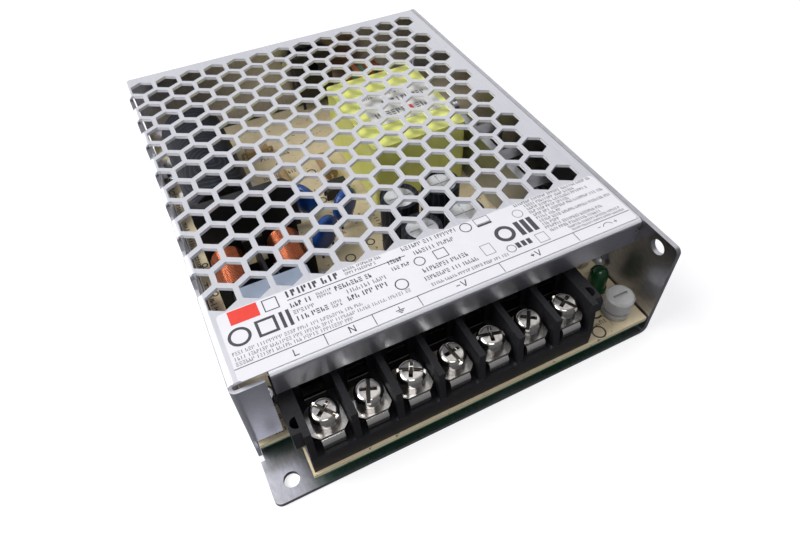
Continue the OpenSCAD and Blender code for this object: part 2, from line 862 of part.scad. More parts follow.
module transformer_bobbin() {
    y0 = core_y[0] + yoke + 0.1;
    y1 = core_y[1] - yoke - 0.1;
    half = core_half - leg_out - 0.1;
    color([0.12, 0.12, 0.12])
    difference() {
        union() {
            block3([trafo_cx - leg_half - 0.9, y0, core_z[0] + 1],
                [trafo_cx + leg_half + 0.9, y1, core_z[1] - 1]);
            block3([trafo_cx - leg_half - 0.9, y0, core_z[0] - 0.9],
                [trafo_cx + leg_half + 0.9, y1, core_z[1] + 0.9]);
            for (y = [y0, y1 - 0.8])
                block3([trafo_cx - half, y, wind_z[0]], [trafo_cx + half, y + 0.8, wind_z[1]]);
            for (y = [core_y[0] + 1, core_y[1] - 4])
                block3([trafo_cx - half - 2, y, board_top + 0.3],
                    [trafo_cx + half + 2, y + 3, core_z[0] - 0.1]);
            for (y = [y0, y1 - 1.6])
                block3([trafo_cx - half, y - 2, board_top + 0.3],
                    [trafo_cx + half, y + 3.6, wind_z[0] + 0.1]);
            for (y = [core_y[0] + 2.5, core_y[1] - 2.5], i = [-2 : 2])
                translate([trafo_cx + i * 4.4, y, board_top]) cylinder(r = 0.5, h = 1);
        }
        block3([trafo_cx - leg_half - 0.1, y0 - 9, core_z[0] - 0.1],
            [trafo_cx + leg_half + 0.1, y1 + 9, core_z[1] + 0.1]);
    }
}

module transformer_winding() {
    y0 = core_y[0] + yoke + 1;
    y1 = core_y[1] - yoke - 1;
    half = core_half - leg_out - 0.5;
    color([0.8, 0.75, 0.35])
    difference() {
        block3([trafo_cx - half, y0, wind_z[0] + 0.6], [trafo_cx + half, y1, wind_z[1] - 0.3]);
        block3([trafo_cx - leg_half - 1, y0 - 1, core_z[0] - 1],
            [trafo_cx + leg_half + 1, y1 + 1, core_z[1] + 1]);
    }
}

// Tape wrapped over the whole core, open underneath
module transformer_tape() {
    wall = 0.5;
    color([0.84, 0.86, 0.36])
    difference() {
        pillar_box(trafo, board_top + 1, trafo_z, 1.2);
        block3([trafo[0] + wall, trafo[1] + wall, 0], [trafo[2] - wall, trafo[3] - wall, trafo_z - wall]);
    }
}

module transformer_label() {
    color([0.93, 0.92, 0.9])
    pillar_box([trafo[0] + 5, trafo[1] + 9, trafo[2] - 1.8, trafo[3] - 9.5], trafo_z, trafo_z + 0.12, 0.3);
}

module output_capacitor_cans() {
    color([0.8, 0.81, 0.83])
    for (c = out_caps)
        translate([c[0], c[1], board_top + 0.2])
            difference() {
                cylinder(r = out_cap_r - 0.3, h = out_cap_z - board_top - 0.4);
                for (a = [0, 90])
                    rotate(a) translate([-3.2, -0.15, out_cap_z - board_top - 0.65]) cube([6.4, 0.3, 1]);
                translate([0, 0, 2.2])
                    rotate_extrude() translate([out_cap_r, 0]) circle(0.7);
            }
}

module output_capacitor_sleeves() {
    color([0.09, 0.1, 0.14])
    for (c = out_caps)
        translate([c[0], c[1], board_top]) {
            tube(out_cap_r, out_cap_r - 0.28, out_cap_z - board_top);
            translate([0, 0, out_cap_z - board_top - 0.02]) tube(out_cap_r, out_cap_r - 1, 0.25);
        }
}

// Ring core with its winding, standing on the board behind the transformer
module output_choke_core() {
    color([0.2, 0.32, 0.24])
    translate([24, 49.6, 15.2])
        rotate([90, 0, 0])
            translate([0, 0, -3]) tube(6.4, 3.6, 6);
}

module output_choke_coil() {
    color([0.75, 0.42, 0.28])
    translate([24, 49.6, 15.2])
        for (i = [0 : 11])
            rotate([0, i * 30, 0])
                translate([5, 0, 0])
                    difference() {
                        cube([4.8, 8.4, 1.5], center = true);
                        cube([3, 6.3, 3], center = true);
                    }
}

// Upright aluminium bar that carries the power semiconductors
module heatsink_bar() {
    foot = 0.7;
    color([0.72, 0.73, 0.75]) {
        on_board(bar, bar_z, 0.6);
        for (y = [bar[1] + 4, bar[3] - 5])
            block3([bar[0] + foot, y, board_top], [bar[0] + foot + 1, y + 2, board_top + foot]);
    }
}

module power_semiconductors() {
    face = bar[2] + 0.1;
    body_z = board_top + semi_z;
    lead = 0.8;
    color([0.1, 0.1, 0.1])
    for (y = semis_y) {
        block3([face, y - semi_w / 2, body_z], [face + semi_t, y + semi_w / 2, body_z + semi_body_h]);
        block3([face, y - semi_w / 2, body_z], [face + 1.4, y + semi_w / 2, body_z + semi_tab_h]);
        for (s = [-2.54, 0, 2.54])
            block3([face + 2.2, y + s - lead / 2, board_top], [face + 2.8, y + s + lead / 2, body_z + 0.1]);
    }
}

// Spring clips that press each semiconductor on to the bar
module semiconductor_clips() {
    clip_w = 4;
    clip_t = 0.6;
    press_z = board_top + 9;
    body_x = bar[2] + 0.1 + semi_t;
    color([0.72, 0.72, 0.74])
    for (y = semis_y) {
        block3([bar[0] - 1, y - clip_w / 2, bar_z + 0.1], [body_x + 1, y + clip_w / 2, bar_z + 0.1 + clip_t]);
        block3([body_x + 1 - clip_t, y - clip_w / 2, press_z], [body_x + 1, y + clip_w / 2, bar_z + 0.2]);
        block3([body_x + 0.02, y - clip_w / 2, press_z], [body_x + 0.5, y + clip_w / 2, press_z + 1.4]);
    }
}

// Lying resistor along Y
module resistor(x, y, turn, l, r) {
    translate([x, y, board_top + r + 0.3])
        rotate([-90, 0, turn]) {
            translate([0, 0, -l / 2]) cylinder(r = r, h = l);
            translate([0, 0, -l / 2 - 1.2]) cylinder(r = 0.35, h = l + 2.4);
            for (s = [-l / 2 - 1.2, l / 2 + 1.2])
                translate([-0.35, 0, s - 0.35]) cube([0.7, r + 0.3, 0.7]);
        }
}

module resistors() {
    color([0.76, 0.66, 0.5]) {
        resistor(-20, 20, 0, 7, 1.5);
        resistor(-15, 24, 0, 7, 1.5);
        resistor(-2, 24, 0, 9, 2);
        resistor(-18.5, 42, 90, 7, 1.5);
        resistor(-18, -26, 0, 7, 1.5);
        resistor(-8, -32, 90, 7, 1.5);
        resistor(30, -42, 90, 7, 1.5);
    }
}

module optocouplers() {
    color([0.11, 0.11, 0.11])
    for (p = [[-3, 13], [-8, -22]])
        translate([p[0] - 3.2, p[1] - 2.3, board_top]) {
            translate([0, 0, 0.6]) cube([6.4, 4.6, 3.5]);
            for (x = [-0.5, 6], y = [0.9, 3.4])
                translate([x, y - 0.3, 0]) cube([0.9, 0.6, 2.6]);
        }
}

chassis();
cover();
rating_label();
insulation_sheet();
pcb();
pcb_screws();
cover_screws();
terminal_block();
terminal_contacts();
for (i = [1 : term_n]) {
    terminal_screw(i - 1);
    clamp_plate(i - 1);
}
adjuster_body();
adjuster_knob();
power_led();
bulk_capacitor_can();
bulk_capacitor_sleeve();
capacitor_adhesive();
bridge_rectifier();
main_transistor();
choke_core();
choke_bobbin();
choke_coils();
film_capacitor();
disc_capacitors();
inrush_thermistor();
fuse_tube();
fuse_caps();
transformer_core();
transformer_bobbin();
transformer_winding();
transformer_tape();
transformer_label();
output_capacitor_cans();
output_capacitor_sleeves();
output_choke_core();
output_choke_coil();
heatsink_bar();
power_semiconductors();
semiconductor_clips();
resistors();
optocouplers();
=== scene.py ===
import math
import random

import bpy
from mathutils import Matrix, Vector


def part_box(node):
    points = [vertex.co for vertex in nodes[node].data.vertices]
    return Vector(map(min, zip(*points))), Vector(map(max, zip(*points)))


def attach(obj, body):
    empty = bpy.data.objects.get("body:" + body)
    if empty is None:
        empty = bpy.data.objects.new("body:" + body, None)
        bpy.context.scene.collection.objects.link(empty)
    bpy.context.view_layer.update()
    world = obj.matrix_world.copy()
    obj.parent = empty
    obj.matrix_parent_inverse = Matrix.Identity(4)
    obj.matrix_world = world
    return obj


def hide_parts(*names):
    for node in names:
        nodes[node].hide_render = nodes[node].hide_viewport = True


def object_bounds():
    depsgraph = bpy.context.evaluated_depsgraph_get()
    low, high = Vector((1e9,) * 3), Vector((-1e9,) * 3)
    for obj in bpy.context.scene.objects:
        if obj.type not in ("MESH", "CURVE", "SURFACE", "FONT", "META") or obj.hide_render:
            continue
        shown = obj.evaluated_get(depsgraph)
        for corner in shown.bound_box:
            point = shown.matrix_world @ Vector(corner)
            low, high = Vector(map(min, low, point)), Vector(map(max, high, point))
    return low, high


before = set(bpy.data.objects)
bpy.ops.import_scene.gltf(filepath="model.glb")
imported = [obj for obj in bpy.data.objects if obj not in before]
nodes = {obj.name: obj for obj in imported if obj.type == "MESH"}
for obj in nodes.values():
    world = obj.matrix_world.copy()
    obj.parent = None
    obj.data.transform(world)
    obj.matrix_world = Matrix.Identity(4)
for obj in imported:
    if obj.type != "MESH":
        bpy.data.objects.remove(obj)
cadLow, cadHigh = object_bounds()
mm = 0.001
body = "supply"  # everything that doesn't turn or lift rides on this body
terminalCount = 7
print("frame loaded:", len(nodes), "parts")


def addObject(name, data):
    item = bpy.data.objects.new(name, data)
    bpy.context.scene.collection.objects.link(item)
    return item


def addNode(tree, kind, **values):
    node = tree.nodes.new(kind)
    for key, value in values.items():
        node.inputs[key].default_value = value
    return node


def mixColours(tree, factor, first, second):
    mix = tree.nodes.new("ShaderNodeMix")
    mix.data_type = "RGBA"
    for socket, colour in (("A", first), ("B", second)):
        if isinstance(colour, tuple):
            mix.inputs[socket].default_value = (*colour, 1)
        else:
            tree.links.new(colour, mix.inputs[socket])
    tree.links.new(factor, mix.inputs["Factor"])
    return mix.outputs["Result"]


def mathStep(tree, operation, *values):
    step = tree.nodes.new("ShaderNodeMath")
    step.operation = operation
    for socket, value in zip(step.inputs, values):
        if isinstance(value, float):
            socket.default_value = value
        else:
            tree.links.new(value, socket)
    return step.outputs[0]


def axisValue(tree, axis, coordinate="Object"):
    place = tree.nodes.new("ShaderNodeTexCoord")
    split = tree.nodes.new("ShaderNodeSeparateXYZ")
    tree.links.new(place.outputs[coordinate], split.inputs["Vector"])
    return split.outputs[axis]


def mapValue(tree, value, **ends):
    spread = addNode(tree, "ShaderNodeMapRange", **ends)
    tree.links.new(value, spread.inputs["Value"])
    return spread.outputs["Result"]


def compareAxis(tree, axis, edge):
    # 1 on the far side of a plane across one axis, 0 on the near side
    return mathStep(tree, "GREATER_THAN", axisValue(tree, axis), edge)


def ridges(tree, axis, pitch):
    # rounded ridges across one axis, for wire turns and threads
    count = mathStep(tree, "MULTIPLY", axisValue(tree, axis), math.pi / (pitch * mm))
    return mathStep(tree, "ABSOLUTE", mathStep(tree, "SINE", count))


def noise(tree, place, **values):
    texture = addNode(tree, "ShaderNodeTexNoise", **values)
    tree.links.new(place, texture.inputs["Vector"])
    return texture.outputs["Fac"]


# How far every finish stretches its noises, its strengths of bump, and how deep light goes in mm
finishRanges = dict(tone=(0.14, 0.36), crest=(0.62, 0.95), wear=(0.3, 0.7), smoothest=0.03,
                    relief=0.6, ridge=0.9, glowDepth=1.2)


def paintRings(tree, place, colour, rings):
    # pale rings round a point
    wave = addNode(tree, "ShaderNodeTexWave", Scale=rings["scale"], Detail=2.0)
    wave.inputs["Distortion"].default_value = rings["distortion"]
    wave.wave_type = "RINGS"
    wave.rings_direction = "SPHERICAL"
    shift = tree.nodes.new("ShaderNodeMapping")
    shift.inputs["Location"].default_value = tuple(-v * mm for v in rings["centre"])
    tree.links.new(place, shift.inputs["Vector"])
    tree.links.new(shift.outputs["Vector"], wave.inputs["Vector"])
    low, high = finishRanges["crest"]
    crest = mapValue(tree, wave.outputs["Fac"], **{"From Min": low, "From Max": high,
                                                   "To Max": rings["strength"]})
    return mixColours(tree, crest, colour, rings["colour"])


def paintSpecks(tree, place, colour, specks):
    cells = noise(tree, place, Scale=specks["scale"], Detail=2.0, Roughness=0.7)
    chosen = mapValue(tree, cells, **{"From Min": specks["low"], "From Max": specks["high"],
                                      "To Max": specks["strength"]})
    return mixColours(tree, chosen, colour, specks["colour"])


def addTurns(tree, turns, relief):
    # the ridges of wire turns or of a thread, on top of the fine relief
    wires = addNode(tree, "ShaderNodeBump", Strength=finishRanges["ridge"], Distance=turns["deep"] * mm)
    height = ridges(tree, turns["axis"], turns["pitch"])
    if "below" in turns:
        beyond = compareAxis(tree, "Z", turns["below"] * mm)
        height = mathStep(tree, "MULTIPLY", height, mathStep(tree, "SUBTRACT", 1.0, beyond))
    tree.links.new(height, wires.inputs["Height"])
    tree.links.new(relief.outputs["Normal"], wires.inputs["Normal"])
    return wires


# A finish mixes two tones by fine grain and slow cloud. grain and cloud are noise sizes in 1/m,
# brush stretches the grain along X, Y and Z, and bump is its height in mm.
def makeFinish(name, look):
    material = bpy.data.materials.new(name)
    material.use_nodes = True
    tree = material.node_tree
    shader = tree.nodes["Principled BSDF"]
    link = tree.links.new
    place = tree.nodes.new("ShaderNodeTexCoord").outputs["Object"]
    stretch = tree.nodes.new("ShaderNodeMapping")
    stretch.inputs["Scale"].default_value = look.get("brush", (1, 1, 1))
    link(place, stretch.inputs["Vector"])
    grain = noise(tree, stretch.outputs["Vector"], Scale=look["grain"], Detail=4.0, Roughness=0.6)
    cloud = noise(tree, place, Scale=look.get("cloud", 30.0), Detail=3.0)
    low, high = finishRanges["tone"]
    tone = mapValue(tree, mathStep(tree, "MULTIPLY", grain, cloud), **{"From Min": low, "From Max": high})
    colour = mixColours(tree, tone, look["colour"], look["fleck"])
    if "band" in look:  # a second colour on the near side of a plane
        band = look["band"]
        beyond = compareAxis(tree, band["axis"], band["edge"] * mm)
        colour = mixColours(tree, beyond, band["colour"], colour)
    if "rings" in look:
        colour = paintRings(tree, place, colour, look["rings"])
    if "specks" in look:
        colour = paintSpecks(tree, place, colour, look["specks"])
    shader.inputs["Metallic"].default_value = look.get("metal", 0.0)
    if "cut" in look:  # bare cut edges between two heights, paler and less metallic: bare metal, lightened as a painted highlight
        cut = look["cut"]
        above = compareAxis(tree, "Z", cut["low"] * mm)
        below = compareAxis(tree, "Z", cut["high"] * mm)
        edge = mathStep(tree, "SUBTRACT", above, below)
        colour = mixColours(tree, edge, colour, cut["colour"])
        metal = mapValue(tree, edge, **{"To Min": look["metal"], "To Max": cut["metal"]})
        link(metal, shader.inputs["Metallic"])
    link(colour, shader.inputs["Base Color"])
    spread = look.get("spread", 0.1) / 2
    least = max(finishRanges["smoothest"], look["rough"] - spread)
    low, high = finishRanges["wear"]
    wear = mapValue(tree, cloud, **{"From Min": low, "From Max": high, "To Min": least,
                                    "To Max": look["rough"] + spread})
    link(wear, shader.inputs["Roughness"])
    shader.inputs["Specular IOR Level"].default_value = look.get("gloss", 0.5)
    shader.inputs["Transmission Weight"].default_value = look.get("clear", 0.0)
    relief = addNode(tree, "ShaderNodeBump", Strength=finishRanges["relief"], Distance=look["bump"] * mm)
    link(grain, relief.inputs["Height"])
    if "turns" in look:
        relief = addTurns(tree, look["turns"], relief)
    link(relief.outputs["Normal"], shader.inputs["Normal"])
    if "glow" in look:
        shader.inputs["Subsurface Weight"].default_value = look["glow"]
        shader.inputs["Subsurface Radius"].default_value = (1.0, 1.0, 0.9)
        shader.inputs["Subsurface Scale"].default_value = finishRanges["glowDepth"] * mm
    return material


softEdgeShape = dict(segments=2, sharpest=40)


def softenEdges(piece, width):
    bevel = piece.modifiers.new("softEdge", "BEVEL")
    bevel.width = width * mm
    bevel.segments = softEdgeShape["segments"]
    bevel.limit_method = "ANGLE"
    bevel.angle_limit = math.radians(softEdgeShape["sharpest"])


def dress(names, look):
    finish = makeFinish(names[0] + "Finish", look)
    for name in names:
        nodes[name].data.materials.clear()
        nodes[name].data.materials.append(finish)
        if "softEdge" in look:
            softenEdges(nodes[name], look["softEdge"])


def makePiece(name, corners, faces, finish, slot, rides=body, smooth=False):
    mesh = bpy.data.meshes.new(name)
    mesh.from_pydata([tuple(v * mm for v in corner) for corner in corners], [], faces)
    mesh.validate()
    mesh.materials.append(finish)
    if smooth:
        mesh.shade_smooth()
    piece = addObject(name, mesh)
    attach(piece, rides)
    return piece


# Sheet metal
chassisLook = dict(colour=(0.49, 0.49, 0.53), fleck=(0.37, 0.37, 0.405), metal=1.0, rough=0.30, spread=0.14,
                   grain=620, brush=(2.5, 1, 2.5), bump=0.012, softEdge=0.18)
# The walls of the holes in the top sheet are bare cut metal, made pale and less metallic as a painted
# highlight along the edges.
coverLook = dict(colour=(0.65, 0.655, 0.705), fleck=(0.59, 0.595, 0.645), metal=1.0, rough=0.31,
                 spread=0.10, grain=240, brush=(6, 0.6, 6), bump=0.006, softEdge=0.1,
                 cut=dict(low=29.24, high=29.9, colour=(0.80, 0.80, 0.84), metal=0.15))
dress(["chassis"], chassisLook)
dress(["cover"], coverLook)

screwLook = dict(colour=(0.70, 0.70, 0.72), fleck=(0.56, 0.56, 0.58), metal=1.0, rough=0.22, grain=900,
                 bump=0.01, softEdge=0.08)
dress(["pcb_screws", "cover_screws"], screwLook)

insulationLook = dict(colour=(0.55, 0.57, 0.55), fleck=(0.48, 0.50, 0.48), rough=0.35, grain=120, bump=0.01)
dress(["insulation_sheet"], insulationLook)

# Cream on the component side and its edges, green below
boardLook = dict(colour=(0.76, 0.645, 0.435), fleck=(0.66, 0.555, 0.36), rough=0.42, grain=420, bump=0.01,
                 softEdge=0.1, band=dict(axis="Z", edge=5.25, colour=(0.03, 0.19, 0.09)),
                 specks=dict(scale=520.0, low=0.66, high=0.70, strength=0.75, colour=(0.10, 0.08, 0.055)))
dress(["pcb"], boardLook)
print("case and board dressed")

# Terminals and the adjuster
blockLook = dict(colour=(0.007, 0.007, 0.009), fleck=(0.014, 0.014, 0.017), rough=0.42, spread=0.14,
                 gloss=0.26, grain=1500, bump=0.012, softEdge=0.18)
# Behind y -57.2 the contacts are painted dark: painted shade under the lip of the cover. The pale band in
# front is their own colour.
contactRearShadeLook = dict(colour=(0.055, 0.052, 0.050), fleck=(0.030, 0.029, 0.028), metal=1.0, rough=0.24,
                   spread=0.12, grain=700, brush=(1, 6, 6), bump=0.010, softEdge=0.12,
                   band=dict(axis="Y", edge=-57.2, colour=(0.78, 0.76, 0.74)))
nickelLook = dict(colour=(0.66, 0.635, 0.61), fleck=(0.40, 0.385, 0.365), metal=1.0, rough=0.13,
                  spread=0.12, grain=900, bump=0.05, softEdge=0.1,
                  turns=dict(axis="Z", pitch=0.6, deep=0.3, below=13.6))
plateLook = dict(colour=(0.46, 0.44, 0.425), fleck=(0.27, 0.26, 0.25), metal=1.0, rough=0.18, spread=0.14,
                 grain=900, bump=0.03, softEdge=0.16)
knobLook = dict(colour=(0.70, 0.70, 0.69), fleck=(0.54, 0.54, 0.53), rough=0.30, grain=500, bump=0.012,
                glow=0.35, clear=0.5, softEdge=0.15)
# dark sheets in the screw recesses: painted shade
recessShadeLook = dict(colour=(0.060, 0.055, 0.050), fleck=(0.025, 0.023, 0.021), metal=1.0, rough=0.4,
                  grain=900, bump=0.02)
lensLook = dict(colour=(0.010, 0.080, 0.026), fleck=(0.008, 0.055, 0.018), rough=0.14, spread=0.04,
                grain=200, bump=0.002)
dress(["terminal_block"], blockLook)
dress(["terminal_contacts"], contactRearShadeLook)
dress(["clamp_plate_%d" % (n + 1) for n in range(terminalCount)], plateLook)
dress(["adjuster_body", "adjuster_knob"], knobLook)
dress(["power_led"], lensLook)

# Each screw stands at its own angle, with painted shade on the floors of its driver recess
screwAngles = (38, -22, 62, 8, 74, -36, 28)
recessShape = dict(cross=1.72, wide=0.76, crossDepth=1.66, slot=2.6, slotWide=0.78, slotDepth=1.06,
                   shadeLift=0.02)


def turnedScrew(number, angle):
    name = "terminal_screw_%d" % number
    low, high = (Vector(corner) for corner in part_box(name))
    middle = (low + high) / 2
    axis = Matrix.Translation((middle.x, middle.y, 0))
    turn = axis @ Matrix.Rotation(math.radians(angle), 4, "Z") @ axis.inverted()
    mesh = nodes[name].data.copy()
    mesh.transform(turn)
    mesh.materials.clear()
    mesh.materials.append(nickelFinish)
    screw = addObject("turned_screw_%d" % number, mesh)
    softenEdges(screw, nickelLook["softEdge"])
    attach(screw, "screw_%d" % number)
    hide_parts(name)
    # thin dark sheets on the floors of the cross and the slot: painted shade in the recess
    corners, faces = [], []
    shape = recessShape
    arm = (shape["cross"], shape["wide"] / 2, shape["crossDepth"])
    slot = (shape["slotWide"] / 2, shape["slot"], shape["slotDepth"])
    for (reach, half, deep), quarter in ((arm, 0), (arm, 90), (slot, 0)):
        spin = Matrix.Rotation(math.radians(quarter), 4, "Z")
        floor = Vector((middle.x, middle.y, high.z + (shape["shadeLift"] - deep) * mm))
        start = len(corners)
        for x, y in ((-reach, -half), (reach, -half), (reach, half), (-reach, half)):
            corners.append(turn @ (floor + spin @ Vector((x * mm, y * mm, 0))))
        faces.append((start, start + 1, start + 2, start + 3))
    corners = [corner / mm for corner in corners]
    makePiece("painted_recess_shade_%d" % number, corners, faces, recessShadeFinish, "screw_nickel", "screw_%d" % number)


nickelFinish = makeFinish("brightNickel", nickelLook)
recessShadeFinish = makeFinish("paintedRecessShade", recessShadeLook)
for n, angle in enumerate(screwAngles):
    turnedScrew(n + 1, angle)
print("terminals dressed")

# Parts of the mains side
canLook = dict(colour=(0.72, 0.73, 0.75), fleck=(0.58, 0.59, 0.61), metal=1.0, rough=0.26, grain=500,
               bump=0.010)
sleeveLook = dict(colour=(0.010, 0.011, 0.017), fleck=(0.018, 0.020, 0.028), rough=0.46, spread=0.14,
                  gloss=0.14, grain=260, brush=(1, 0.3, 1), bump=0.020,
                  rings=dict(scale=210.0, distortion=3.5, strength=0.5, colour=(0.055, 0.060, 0.080),
                             centre=(-34.0, 21.0, 25.0)))
siliconeLook = dict(colour=(0.84, 0.84, 0.82), fleck=(0.74, 0.74, 0.71), rough=0.5, grain=300, bump=0.05,
                    glow=0.2)
epoxyLook = dict(colour=(0.012, 0.012, 0.013), fleck=(0.022, 0.022, 0.024), rough=0.40, gloss=0.4,
                 grain=1400, bump=0.012, softEdge=0.22)
ferriteLook = dict(colour=(0.028, 0.027, 0.026), fleck=(0.05, 0.048, 0.045), rough=0.55, spread=0.2,
                   grain=900, bump=0.03, softEdge=0.15)
filmLook = dict(colour=(0.38, 0.45, 0.57), fleck=(0.33, 0.40, 0.52), rough=0.32, grain=500, bump=0.008,
                softEdge=0.3)
discLook = dict(colour=(0.008, 0.06, 0.27), fleck=(0.010, 0.08, 0.33), rough=0.25, grain=260, bump=0.05,
                softEdge=0.7)
thermistorLook = dict(colour=(0.02, 0.035, 0.02), fleck=(0.03, 0.05, 0.03), rough=0.3, grain=300, bump=0.05)
tubeLook = dict(colour=(0.66, 0.63, 0.56), fleck=(0.58, 0.55, 0.49), rough=0.2, grain=400, bump=0.01)
dress(["bulk_capacitor_can", "output_capacitor_cans"], canLook)
dress(["bulk_capacitor_sleeve", "output_capacitor_sleeves"], sleeveLook)
dress(["capacitor_adhesive"], siliconeLook)
dress(["bridge_rectifier", "main_transistor", "power_semiconductors", "optocouplers"], epoxyLook)
dress(["choke_core", "transformer_core"], ferriteLook)
dress(["choke_bobbin", "transformer_bobbin"], dict(blockLook, softEdge=0.1))
dress(["film_capacitor"], filmLook)
dress(["inrush_thermistor"], thermistorLook)
dress(["fuse_tube"], tubeLook)
dress(["fuse_caps"], dict(screwLook, grain=700))

# Transformer and the output side
tapeLook = dict(colour=(0.83, 0.86, 0.26), fleck=(0.74, 0.78, 0.17), rough=0.28, grain=260,
                brush=(1, 1, 0.18), bump=0.03, softEdge=0.3, glow=0.2)
windingLook = dict(colour=(0.50, 0.50, 0.09), fleck=(0.42, 0.42, 0.07), rough=0.35, grain=300, bump=0.02,
                   turns=dict(axis="Z", pitch=1.1, deep=0.12))
paperLook = dict(colour=(0.70, 0.69, 0.66), fleck=(0.63, 0.62, 0.59), rough=0.6, grain=900, bump=0.01)
ringLook = dict(colour=(0.03, 0.08, 0.04), fleck=(0.04, 0.1, 0.05), rough=0.45, grain=500, bump=0.02,
                softEdge=0.4)
coilLook = dict(colour=(0.55, 0.18, 0.08), fleck=(0.44, 0.13, 0.06), metal=0.8, rough=0.28, grain=500,
                bump=0.01)
barLook = dict(colour=(0.50, 0.51, 0.53), fleck=(0.42, 0.43, 0.45), metal=1.0, rough=0.36, grain=300,
               brush=(6, 0.6, 6), bump=0.012, softEdge=0.2)
clipLook = dict(colour=(0.30, 0.30, 0.32), fleck=(0.22, 0.22, 0.24), metal=1.0, rough=0.35, grain=500,
                bump=0.01, softEdge=0.08)
resistorLook = dict(colour=(0.46, 0.32, 0.17), fleck=(0.38, 0.26, 0.13), rough=0.45, grain=900, bump=0.02)
dress(["transformer_tape"], tapeLook)
dress(["transformer_winding"], windingLook)
dress(["transformer_label"], paperLook)
dress(["output_choke_core"], ringLook)
dress(["output_choke_coil"], coilLook)
dress(["heatsink_bar"], barLook)
dress(["semiconductor_clips"], clipLook)
dress(["resistors"], resistorLook)
print("inner parts dressed")

# Flat print is built of plain bars and rings, a hair above the surface that carries it
labelLook = dict(colour=(0.77, 0.765, 0.80), fleck=(0.735, 0.73, 0.77), rough=0.42, spread=0.08, grain=300,
                 bump=0.006)
inkLooks = dict(
    dark=dict(colour=(0.030, 0.031, 0.038), fleck=(0.05, 0.052, 0.06), rough=0.45, grain=900, bump=0.002),
    grey=dict(colour=(0.11, 0.11, 0.13), fleck=(0.16, 0.16, 0.18), rough=0.45, grain=900, bump=0.002),
    red=dict(colour=(0.78, 0.055, 0.035), fleck=(0.70, 0.045, 0.03), rough=0.4, grain=900, bump=0.002),
    board=dict(colour=(0.050, 0.040, 0.028), fleck=(0.09, 0.07, 0.05), rough=0.5, grain=900, bump=0.002),
)
dress(["rating_label"], labelLook)
inks = {name: makeFinish(name + "Ink", look) for name, look in inkLooks.items()}
labelTop = cadHigh[2] / mm
printHeight = 0.02  # above its surface


# The stand-in for a line of print, as shares of its height
tickShape = dict(group=(3, 8), widths=(0.42, 0.5, 0.58), gap=0.2, groupGap=0.4, margin=0.3)


class Print:
    # gathers flat shapes in one plane, in mm
    def __init__(self, level):
        self.level = level
        self.corners = []
        self.faces = []

    def bar(self, x0, y0, x1, y1):
        self.outline([(x0, y0), (x1, y0), (x1, y1), (x0, y1)])

    def outline(self, points):
        start = len(self.corners)
        area = sum(a[0] * b[1] - b[0] * a[1] for a, b in zip(points, points[1:] + points[:1]))
        if area < 0:
            points = points[::-1]
        self.corners += [(x, y, self.level) for x, y in points]
        self.faces.append(list(range(start, start + len(points))))

    def stroke(self, start, end, wide):
        across = Vector((start[1] - end[1], end[0] - start[0])).normalized() * wide / 2
        a, b = Vector(start), Vector(end)
        self.outline([tuple(a + across), tuple(a - across), tuple(b - across), tuple(b + across)])

    def ring(self, x, y, outer, wide, start=0, end=360):
        # an arc in steps of about 12 degrees, at least 6
        steps = max(6, int((end - start) / 12))
        for step in range(steps):
            angles = [math.radians(start + (end - start) * (step + i) / steps) for i in (0, 1)]
            self.outline([(x + r * math.cos(t), y + r * math.sin(t))
                          for r, t in ((outer, angles[0]), (outer, angles[1]),
                                       (outer - wide, angles[1]), (outer - wide, angles[0]))])

    def frame(self, x0, y0, x1, y1, wide):
        self.bar(x0, y0, x1, y0 + wide)
        self.bar(x0, y1 - wide, x1, y1)
        self.bar(x0, y0 + wide, x0 + wide, y1 - wide)
        self.bar(x1 - wide, y0 + wide, x1, y1 - wide)

    def ticks(self, x0, x1, y, tall, weight, dice):
        # a row of short strokes and blocks in groups, in place of a line of print
        x = x0
        left = dice.randint(*tickShape["group"])
        low, high = y - tall / 2, y + tall / 2
        thin = tall * weight
        while x < x1 - tickShape["margin"] * tall:
            wide = tall * dice.choice(tickShape["widths"])
            kind = dice.randint(0, 3)
            if kind == 0:
                self.bar(x, low, x + thin, high)
                self.bar(x + wide - thin, low, x + wide, y)
            elif kind == 1:
                self.bar(x, low, x + thin, high)
                self.bar(x + wide - thin, y, x + wide, high)
            elif kind == 2:
                self.bar(x, low, x + wide, low + thin)
                self.bar(x, high - thin, x + wide, high)
                self.bar(x, y - thin / 2, x + wide, y + thin / 2)
            else:
                single = x + tickShape["margin"] * wide
                self.bar(single, low, single + thin, high)
            x += wide + tickShape["gap"] * tall
            left -= 1
            if left == 0:
                x += tickShape["groupGap"] * tall
                left = dice.randint(*tickShape["group"])

    def build(self, name, finish, slot="label_film", rides=body):
        return makePiece(name, self.corners, self.faces, finish, slot, rides)


